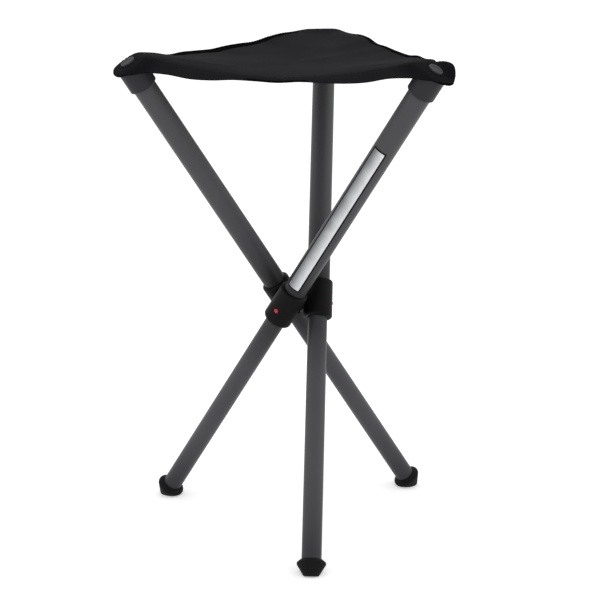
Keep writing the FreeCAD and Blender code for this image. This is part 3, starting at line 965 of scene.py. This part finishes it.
    def draped(
        self, corner: int, across: np.ndarray, along: np.ndarray, part: np.ndarray
    ) -> np.ndarray:
        """Height where the clamped face rolls over into the sagging cloth.

        Args:
            corner: Number of the corner.
            across: Distance from the middle of the stool towards the corner.
            along: Distance sideways.
            part: From 0 at the seat's middle to 1 at the crest, and on.

        Returns:
            The height of the upper face.
        """
        clamped = self.clamped(across, along)
        crest = self.peak + self.corners[corner].lift
        sagging = self.middle + (crest - self.middle) * part**self.sag
        return clamped - self.roll * np.log1p(np.exp((clamped - sagging) / self.roll))

    def edge_of(self, corner: int, side: int) -> tuple[EdgeShape, bool]:
        """Find the edge beside a corner.

        Args:
            corner: Number of the corner.
            side: 1 for the edge on its left seen from outside, -1 for the other.

        Returns:
            The edge's shape, and whether it is read from its far end.
        """
        ends = (corner, (corner - 1 + side) % 3 + 1)
        reverse = ends not in {edge.value for edge in Edge}
        return self.edges[Edge(ends[::-1] if reverse else ends)], reverse

    def pulled(self, corner: int, across: np.ndarray, along: np.ndarray) -> np.ndarray:
        """Height that the pull lines add at a place in a corner's frame.

        Args:
            corner: Number of the corner whose frame the place is in.
            across: Distance from the middle of the stool towards the corner.
            along: Distance sideways.

        Returns:
            The added height.
        """
        total = np.zeros(np.broadcast(across, along).shape)
        for fold in self.folds:
            turn = math.radians(120 * (corner - fold.corner))
            x = across * math.cos(turn) - along * math.sin(turn)
            y = across * math.sin(turn) + along * math.cos(turn)
            away = self.stance.radius - x
            far = np.hypot(away, y)
            angle = np.degrees(np.arctan2(y, np.maximum(away, 1e-6)))
            ridge = np.exp(-(((angle - fold.angle) / fold.width) ** 2))
            middle = (fold.start + fold.end) / 2
            window = smooth_step((far - fold.start) / (middle - fold.start) * self.fold_rise)
            window = window * smooth_step((fold.end - far) / (fold.end - middle))
            total += np.where(away > 0, fold.height * ridge * window, 0.0)
        return total

    def field_places(
        self, corner: int, side: int, part: np.ndarray, share: np.ndarray, depth: float = 0.0
    ) -> tuple[np.ndarray, np.ndarray, np.ndarray]:
        """Places on a field of the seat, in its corner's frame.

        Args:
            corner: Number of the corner.
            side: Which side of the corner's middle line.
            part: From 0 at the seat's middle to 1 at the corner's crest.
            share: From 0 at the corner's middle line to 1 at the edge.
            depth: Distance below the upper face.

        Returns:
            The places, how far each has turned down at the edge, and how far
            each lies from the edge.
        """
        shape, reverse = self.edge_of(corner, side)
        place = (1 - part) / 2
        place = 1 - place if reverse else place
        start = part * self.crest
        end_x = self.edge_middle[0] + (self.crest - self.edge_middle[0]) * part
        end_y = self.edge_middle[1] + (self.corner_width - self.edge_middle[1]) * part
        width = np.hypot(end_x - start, end_y)
        inner = share * (width - depth) / width
        across = start + (end_x - start) * inner
        along = side * end_y * inner
        bend = shape.bend + (self.corner_bend - shape.bend) * part
        turned = np.clip(1 - share**bend, 0.0, 1.0) ** (1 / bend)
        from_edge = width * (1 - share)
        top = self.draped(corner, across, along, part)
        top = top + along_edge(shape.rise, place) * share**self.rise_in
        up = smooth_step(1 + self.lip_top - from_edge / self.lip_width)
        top = top + along_edge(shape.lip, place) * up
        top = top + self.pulled(corner, across, along)
        top = top - depth / math.cos(self.stance.lean)
        foot = np.minimum(along_edge(shape.hem, place), top)
        height = top - (top - foot) * (1 - turned)
        return np.stack([across, along, height], -1), top - height, from_edge

    def corner_places(
        self, corner: int, part: np.ndarray, share: np.ndarray, depth: float = 0.0
    ) -> tuple[np.ndarray, np.ndarray]:
        """Places on a corner of the seat, over the leg top.

        Args:
            corner: Number of the corner.
            part: From 0 at the crest to 1 at the outer end.
            share: From -1 to 1 across the corner.
            depth: Distance below the upper face.

        Returns:
            The places, and how far each has turned down at the edge.
        """
        shape = self.corners[corner]
        reach = self.stance.radius + shape.reach - self.crest
        across = self.crest + (reach - depth) * part + 0 * share
        grow = np.sqrt(np.clip(1 - part**shape.square, 0.0, 1.0))
        along = np.maximum(self.corner_width * grow - depth, self.sliver) * share
        across = across + shape.slant * along / self.corner_width * part
        bend = self.corner_bend
        turned = np.clip(1 - np.abs(share) ** bend, 0.0, 1.0) ** (1 / bend)
        top = self.draped(corner, across, along, across / self.crest)
        side = smooth_step((along - self.stud_reach) / self.flare)
        top = top + along_edge(shape.raised, part) * side
        top = top - depth / math.cos(self.stance.lean)
        edges = (self.edge_of(corner, s) for s in (1, -1))
        ends = np.where(share > 0, *(edge.hem[-1 if reverse else 0] for edge, reverse in edges))
        hem = ends + (shape.tip_hem - ends) * part
        under = top - (self.wrap * self.thick - depth) / math.cos(self.stance.lean)
        height = top - (top - np.minimum(hem, under)) * (1 - turned)
        return np.stack([across, along, height], -1), top - height

    def to_row(self, corner: int, places: np.ndarray) -> np.ndarray:
        """Turn places from a corner's frame to the row frame.

        Args:
            corner: Number of the corner.
            places: Places in its frame.

        Returns:
            The same places in the row frame.
        """
        turn = self.stance.azimuth + math.radians(120 * (corner - 1))
        cos, sin = math.cos(turn), math.sin(turn)
        x, y, z = places[..., 0], places[..., 1], places[..., 2]
        return np.stack([x * cos - y * sin, x * sin + y * cos, z], -1)

    def skin(
        self,
        corner: int,
        faces: tuple[list[np.ndarray], list[np.ndarray]],
        hems: tuple[bool, bool],
        tape_and_shade: np.ndarray,
    ) -> Piece:
        """Close two grids of places into a piece of cloth with rounded hems.

        Args:
            corner: Number of the corner whose frame the places are in.
            faces: Places and drops of the upper and the lower face, row by row.
            hems: Whether the first and the last column end in a hem.
            tape_and_shade: Where the cloth is covered by its black edge tape, which is partly
                painted shade on the hem walls and lips.

        Returns:
            The piece, without stitches.
        """
        piece = Piece()
        grids = []
        for places, drops in faces:
            flat_y = places[..., 1] + np.sign(places[..., 1]) * drops
            rows = zip(self.to_row(corner, places), places[..., 0], flat_y)
            grid = [[piece.add_point(Vector(p), (x, y)) for p, x, y in zip(*row)] for row in rows]
            grids.append(grid)
        top, under = grids
        last, edge = len(top) - 1, len(top[0]) - 1
        for i in range(last):
            for j in range(edge):
                # Finish 2, the black tape, is partly painted shade on the hem walls and lips
                finish = 2 if tape_and_shade[i : i + 2, j : j + 2].all() else 0
                for g in grids:
                    square = (g[i][j], g[i + 1][j], g[i + 1][j + 1], g[i][j + 1])
                    piece.add_face(*square, finish=finish)
        for j, hem in ((0, hems[0]), (edge, hems[1])):
            rims = [[row[j] for row in grid] for grid in grids]
            if hem:
                below = []
                for a, b in zip(*rims):
                    place = (piece.points[a] + piece.points[b]) / 2
                    lowest = min(piece.points[a].z, piece.points[b].z)
                    place.z = lowest - self.hem_round * self.thick
                    below.append(piece.add_point(place, piece.flat[a]))
                rims.insert(1, below)
                for i in (0, last):
                    piece.add_face(*(rim[i] for rim in rims), plain=True)
            for outer, inner in zip(rims, rims[1:]):
                piece.add_band(outer, inner, 2 if hem else 0, not hem)
        for i in (0, last):
            piece.add_band(top[i], under[i], plain=True)
        return piece

    def sew(self, piece: Piece, corner: int, path: np.ndarray) -> None:
        """Lay a row of stitches along a path on the upper face.

        Args:
            piece: The piece that gets the stitches.
            corner: Number of the corner whose frame the path is in.
            path: Places close together, in the corner's frame.
        """
        line = self.to_row(corner, path)
        lengths = np.r_[0, np.cumsum(np.linalg.norm(np.diff(line, axis=0), axis=1))]
        start = (lengths[-1] % self.stitch_pitch) / 2
        for begin in np.arange(start, lengths[-1] - self.stitch_length, self.stitch_pitch):
            places = (begin, begin + self.stitch_length)
            ends = ([np.interp(at, lengths, line[:, k]) for k in range(3)] for at in places)
            self.add_stitch(piece, *(Vector(end) for end in ends))

    def add_stitch(self, piece: Piece, start: Vector, end: Vector) -> None:
        """Add one stitch, a thread that dips into the cloth at both ends.

        Args:
            piece: The piece that gets it.
            start: Where it begins.
            end: Where it ends.
        """
        way = (end - start).normalized()
        side = way.cross(Vector((0, 0, 1))).normalized()
        up = side.cross(way)
        rings = []
        # Place along the stitch, the thread's thickness there and its lift
        for share, size, lift in ((0, 0.5, 0.025), (0.25, 1, 0.3), (0.75, 1, 0.3), (1, 0.5, 0.025)):
            middle = start.lerp(end, share) + up * (self.thread * lift)
            turns = (k * math.pi / 3 for k in range(6))
            offs = (side * math.cos(turn) + up * math.sin(turn) for turn in turns)
            rings.append([piece.add_point(middle + off * (self.thread / 2 * size)) for off in offs])
        for near, far in zip(rings, rings[1:]):
            piece.add_band([*near, near[0]], [*far, far[0]], finish=1)
        piece.add_face(*rings[0][::-1], finish=1)
        piece.add_face(*rings[-1], finish=1)

    def make_field(self, corner: int, side: int) -> Piece:
        """Make the field between a corner, the seat's middle and one edge.

        Args:
            corner: Number of the corner.
            side: 1 for the edge on its left seen from outside, -1 for the other.

        Returns:
            The piece, with its stitches.
        """
        part = np.linspace(0, 1, self.rows)[:, None]
        shape, _ = self.edge_of(corner, side)
        bend = shape.bend + (self.corner_bend - shape.bend) * part
        share = quarter_wave(self.columns)[None, :] ** (2 / bend)
        *upper, from_edge = self.field_places(corner, side, part, share)
        *lower, _ = self.field_places(corner, side, part, share, self.thick)
        # The black tape on the hem walls is partly binding and partly painted shade
        tape_and_shade = upper[1].max(axis=1, keepdims=True) - upper[1] < self.tape
        # The tape's inner half lies on top as painted shade on the inner face of the raised hem,
        # and runs out under the corner
        lip_shade = shape.lip_shade_tape * smooth_step(4 * (1 - part))
        outer_half = share > 0.5
        tape_and_shade = (tape_and_shade & outer_half) | (from_edge < lip_shade)
        piece = self.skin(corner, (upper, lower), (False, True), tape_and_shade)
        steps = np.linspace(0.0, 1.0, self.path_steps)
        width = np.hypot(
            self.edge_middle[0] * (1 - steps),
            self.edge_middle[1] + (self.corner_width - self.edge_middle[1]) * steps,
        )
        path, *_ = self.field_places(corner, side, steps, 1 - self.stitch_inset / width)
        self.sew(piece, corner, path)
        return piece

    def make_corner(self, corner: int) -> Piece:
        """Make the corner that wraps over a leg top.

        Args:
            corner: Number of the corner.

        Returns:
            The piece, with its stitches.
        """
        part = quarter_wave(self.rows // 2)[:, None]
        half = quarter_wave(self.columns) ** (2 / self.corner_bend)
        share = np.r_[-half[::-1], half[1:]][None, :]
        upper = self.corner_places(corner, part, share)
        lower = self.corner_places(corner, part, share, self.thick)
        wall = np.maximum(upper[1][:, :1], upper[1][:, -1:])
        outer_half = np.abs(share) > 0.5
        # The black tape on the corner's hem walls is partly binding and partly painted shade
        tape_and_shade = (wall - upper[1] < self.tape) & outer_half
        piece = self.skin(corner, (upper, lower), (True, True), tape_and_shade)
        shape = self.corners[corner]
        full = self.stance.radius + shape.reach - self.crest
        turn = np.linspace(-math.pi / 2, math.pi / 2, self.path_steps // 2)
        at = np.cos(turn) ** (2 / shape.square) * (1 - self.stitch_inset / full)
        width = self.corner_width * np.sqrt(1 - at**shape.square)
        along = np.sin(turn) * (self.corner_width - self.stitch_inset)
        path, _ = self.corner_places(corner, at, np.clip(along / width, -0.99, 0.99))
        self.sew(piece, corner, path)
        return piece

    def build(self, finishes: list[Material]) -> None:
        """Build and shade the nine pieces of the seat, and attach its three corners.

        Args:
            finishes: Finishes of the cloth, the stitches and the edge tape, whose black is partly
                painted shade on the hems.
        """
        made: dict[str, tuple[Piece, Object]] = {}
        for corner in LEGS:
            parts = {f"corner_{corner}": self.make_corner(corner)}
            for side in (1, -1):
                other = (corner - 1 + side) % 3 + 1
                parts[f"field_{corner}_{other}"] = self.make_field(corner, side)
            for name, piece in parts.items():
                made[name] = (piece, piece.build(f"cloth_{name}", finishes))
        share_shading(list(made.values()))
        for name, (piece, thing) in made.items():
            kind, number, *other = name.split("_")
            corner = int(number)
            if kind == "corner":
                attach(thing, name)
            else:
                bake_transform(thing)
            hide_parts(f"seat_{name}")


@dataclass
class Label:
    """The long label on one upper tube: a bare metallised field in a black border.

    Attributes:
        gap: Room between the tube and the label.
        start: Pivot to the label's lower end.
        turn: Place round the tube from the line of the pin, in degrees.
        border: Width of the border.
        field_gap: Height of the field above the border.
        roundings: Radius of the corners of the label and of its field.
        least_width: Least width at the ends, so that no face is empty.
    """

    stance: Stance
    leg: int = 3
    tube_radius: float = 11.9
    gap: float = 0.02
    thick: float = 0.25
    start: float = 30.9
    length: float = 184.3
    width: float = 16.2
    turn: float = 4.0
    border: float = 1.7
    field_gap: float = 0.04
    roundings: tuple[float, float] = (1.5, 0.9)
    least_width: float = 0.1
    columns: int = 16
    rows: int = 60

    def strip(self, piece: Piece, radius: float, inset: float, finish: int) -> None:
        """Add one layer of the label, curved round the tube.

        Args:
            piece: The piece that gets it.
            radius: Radius of its outer face.
            inset: How far its outline lies inside the label's.
            finish: Number of its material and of its rounding.
        """
        frame = self.stance.leg(self.leg)
        rounding = self.roundings[finish]
        steps = np.sin(np.linspace(-math.pi / 2, math.pi / 2, self.rows)) / 2 + 0.5
        grid = []
        for along in inset + (self.length - 2 * inset) * steps:
            # The ends are rounded off, but keep a little width
            near = min(along - inset, self.length - inset - along)
            side = rounding - min(max(near, 0.0), rounding)
            half = self.width / 2 - inset - rounding + math.sqrt(rounding**2 - side**2)
            half = max(half, self.least_width / 2)
            row = []
            for k in range(self.columns + 1):
                across = half * (2 * k / self.columns - 1)
                angle = math.radians(self.turn) + across / self.tube_radius
                x, y = math.cos(angle) * radius, math.sin(angle) * radius
                place = frame @ Vector((x, y, self.start + along))
                row.append(piece.add_point(place, (across, along)))
            grid.append(row)
        for below, above in zip(grid, grid[1:]):
            piece.add_band(below, above, finish)

    def build(self, finishes: list[Material]) -> None:
        """Build the label and put it in place of its plain solid.

        Args:
            finishes: Finishes of the printed border and the metallised field.
        """
        piece = Piece()
        outer = self.tube_radius + self.gap + self.thick
        self.strip(piece, outer - self.field_gap, 0.0, 0)
        self.strip(piece, outer, self.border, 1)
        made = piece.build("label_film", finishes, closed=False)
        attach(made, f"leg_{self.leg}")
        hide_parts("label_plate")
        LOG.info("label_film: %.0f x %.1f mm", self.length, self.width)


@dataclass
class LatchSprings:
    """The bent steel strips that are pressed together inside the tubes."""

    stance: Stance
    keep: float = 0.85

    def build(self, frame: dict, steel: Material) -> None:
        """Copy each spring onto the body of its leg's extension.

        Args:
            frame: The loaded frame.
            steel: Finish of the springs.
        """
        for number in LEGS:
            node = frame["nodes"][f"latch_spring_{number}"]
            mesh = node.data.copy()
            mesh.materials.clear()
            mesh.materials.append(steel)
            made = add_object(f"spring_strip_{number}", mesh)
            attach(made, f"extension_{number}")
            leg = self.stance.leg(number)
            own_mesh(made)
            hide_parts(node.name)
            LOG.info("%s: closes to %.0f %%", made.name, self.keep * 100)


@dataclass
class HardParts:
    """Finishes of the pieces that keep their CAD shapes.

    Attributes:
        tubes: Finish, colour, roughness and painted shade of each kind of tube.
    """

    stance: Stance
    tubes: dict[str, tuple[str, str, float, tuple[tuple[float, float], ...]]] = field(
        default_factory=lambda: {
            "upper_tube": (
                "grey_anodised_aluminium",
                "#4a4a4c",
                0.42,
                # Painted shade by place above the pivot, darker towards the hub
                ((28.0, 0.85), (60.0, 0.45), (100.0, 0.15), (150.0, 0.0)),
            ),
            "lower_tube": (
                "dark_anodised_aluminium",
                "#48484b",
                0.4,
                # Painted shade by place below the pivot, darker towards the foot and the collar
                ((-262.0, 0.6), (-225.0, 0.25), (-180.0, 0.0), (-80.0, 0.05), (-30.0, 0.6)),
            ),
        }
    )

    def dress(self, frame: dict) -> None:
        """Give every carried-over CAD node its finish.

        Args:
            frame: The loaded frame.
        """
        black = {"roughness": 0.45, "specular": 0.07}
        nylon = MouldedPlastic("black_nylon", "#0b0b0c", "#171718", **black).make()
        cap = MouldedPlastic("grey_nylon", "#27272a", "#303033", specular=0.15).make()
        head = {"ior": 1.5, "specular": 0.15, "grain": 1.2, "cloud": 3.0}
        stud = MouldedPlastic("stud_plastic", "#2a2a2c", "#48484b", **head).make()
        glossy = {"roughness": 0.3, "ior": 1.54, "specular": 0.3}
        red = MouldedPlastic("red_abs", "#b01830", "#d03c54", **glossy).make()
        pin = TurnedSteel("pin_steel", "#a9a9ab", "#8f8f92", roughness=0.35).make()
        plain = {
            "collar": nylon,
            "wiper_ring": nylon,
            "guide_bush": nylon,
            "pivot_pin": pin,
            "lock_button": red,
            "top_cap": cap,
            "corner_stud": stud,
            "foot": MouldedRubber().make(),
            "foot_washer": pin,
        }
        self.paint(frame, "hub_core", nylon)
        for number in LEGS:
            for kind, material in plain.items():
                self.paint(frame, f"{kind}_{number}", material)
            leg = self.stance.leg(number)
            for kind, (name, colour, roughness, painted_shade) in self.tubes.items():
                # 1c1c1e is the painted shade colour that the tube darkens to
                name, shade_colour = f"{name}_{number}", "#1c1c1e"
                tube = AnodisedAluminium(
                    name, colour, shade_colour, roughness=roughness, painted_shade=painted_shade, leg=leg
                )
                self.paint(frame, f"{kind}_{number}", tube.make())

    @staticmethod
    def paint(frame: dict, name: str, material: Material) -> None:
        """Put a material on every slot of a CAD node.

        Args:
            frame: The loaded frame.
            name: The node's name.
            material: The material.
        """
        node = frame["nodes"][name]
        if not node.material_slots:
            node.data.materials.append(material)
        for slot in node.material_slots:
            slot.link = "OBJECT"
            slot.material = material
        LOG.info("%s: %s", name, material.name)


@dataclass
class Studio:
    """Pale floor, soft lights and the camera at the photographed angle.

    Attributes:
        floor_size: Side of the floor, in metres.
        floor_glow: How much the seen floor is lifted towards white.
        camera_place: The camera's place, in metres.
        camera_turn: The camera's turn, in degrees.
        lens: Its focal length, in millimetres.
        fill: Strength of the even light from all round.
        lights: Name, place, size and power of each soft light, in metres and watts.
    """

    floor_size: float = 40.0
    floor_glow: float = 0.3
    camera_place: tuple[float, float, float] = (0.09108, -1.76323, 0.72266)
    camera_turn: tuple[float, float, float] = (74.744, 0.0, 2.823)
    lens: float = 104.844
    fill: float = 0.9
    lights: tuple[tuple[str, tuple[float, float, float], float, float], ...] = (
        ("softbox_over", (0.1, 0.3, 2.2), 1.8, 4.0),
        ("softbox_left", (-2.2, -0.6, 1.1), 1.4, 3.0),
        ("softbox_right", (2.2, -0.2, 1.2), 1.4, 5.0),
    )

    def build(self) -> None:
        """Build the floor, the world, the lights and the camera."""
        self.make_floor()
        self.make_world()
        for name, place, size, power in self.lights:
            data = bpy.data.lights.new(name, "AREA")
            data.size = size
            data.energy = power
            light = add_object(name, data)
            light.location = place
            # Each light faces the middle of the stool
            aim = Vector((0, 0, 0.3)) - Vector(place)
            light.rotation_euler = aim.to_track_quat("-Z", "Y").to_euler()
        data = bpy.data.cameras.new("camera")
        data.lens = self.lens
        data.sensor_width = 36.0
        data.clip_start, data.clip_end = 0.1, 100.0
        camera = add_object("camera", data)
        camera.location = self.camera_place
        camera.rotation_euler = [math.radians(a) for a in self.camera_turn]
        bpy.context.scene.camera = camera
        bpy.context.scene.view_settings.view_transform = "Standard"

    @staticmethod
    def seen(tree: NodeTree) -> NodeSocket:
        """Add a switch that is 1 for what is seen directly or reflected.

        Args:
            tree: The tree that gets it.

        Returns:
            The switch.
        """
        path = add_node(tree, "LightPath")
        switch = path["Is Camera Ray"]
        for kind in ("Is Glossy Ray", "Is Transmission Ray"):
            either = {0: switch, 1: path[kind]}
            switch = add_node(tree, "Math", {"operation": "MAXIMUM"}, either)["Value"]
        return switch

    def make_world(self) -> None:
        """Make a world that looks white and lights the stool softly."""
        world = bpy.data.worlds.new("studio")
        world.use_nodes = True
        bpy.context.scene.world = world
        tree = world.node_tree
        tree.nodes.clear()
        shades = {0: self.seen(tree)}
        for number, strength in ((1, self.fill), (2, 1.0)):
            white = {"Color": linear("#ffffff"), "Strength": strength}
            shades[number] = add_node(tree, "Background", white)["Background"]
        mix = add_node(tree, "MixShader", links=shades)["Shader"]
        add_node(tree, "OutputWorld", links={"Surface": mix})

    def make_floor(self) -> None:
        """Make the pale floor, which keeps the stool's soft shadow."""
        half = self.floor_size / 2
        mesh = bpy.data.meshes.new("floor")
        corners = [(-half, -half, 0), (half, -half, 0), (half, half, 0), (-half, half, 0)]
        mesh.from_pydata(corners, [], [(0, 1, 2, 3)])
        material, tree = new_material("white_paper_floor")
        paper = {"Base Color": linear("#f8f8f8"), "Roughness": 1.0, "Specular IOR Level": 0.0}
        paper = add_node(tree, "BsdfPrincipled", paper)["BSDF"]
        glow = {"operation": "MULTIPLY", 1: self.floor_glow}
        glow = add_node(tree, "Math", glow, {0: self.seen(tree)})["Value"]
        light = add_node(tree, "Emission", links={"Strength": glow})["Emission"]
        both = add_node(tree, "AddShader", links={0: paper, 1: light})["Shader"]
        add_node(tree, "OutputMaterial", links={"Surface": both})
        mesh.materials.append(material)
        add_object("floor", mesh)


def main() -> None:
    """Load the frame, dress and build every piece, and set up the studio."""
    logging.basicConfig(level=logging.INFO, format="%(name)s: %(message)s")
    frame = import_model()
    stance = Stance()
    HardParts(stance).dress(frame)
    spring = TurnedSteel("spring_steel", "#9b9b9e", "#77777b", roughness=0.3)
    LatchSprings(stance).build(frame, spring.make())
    border = PrintedFilm("label_border", "#0a0a0b", "#101012", roughness=0.4, specular=0.1)
    metal = {"metallic": 0.5, "roughness": 0.38, "specular": 0.4}
    # The foil's grey and bright colours are the two ends of its painted reflection
    foil = PrintedFilm("label_foil", "#77797c", "#d6d8da", **metal)
    Label(stance).build([border.make(), foil.make()])
    dyed = {"patch": "#161618", "corner_at": stance.radius}
    weave = WovenPolyester("woven_polyester", "#1a1a1d", "#232326", **dyed)
    black = {"patch": "#0a0a0b", "corner_at": stance.radius, "specular": 0.0, "thread": 0.9}
    # The near-black edge tape is partly binding and partly painted shade on the hem walls and back
    # lips
    tape = WovenPolyester("edge_tape_and_shade", "#0a0a0b", "#101012", **black)
    SeatCover(stance).build([weave.make(), TwistedThread().make(), tape.make()])
    Studio().build()


if __name__ == "__main__":
    main()
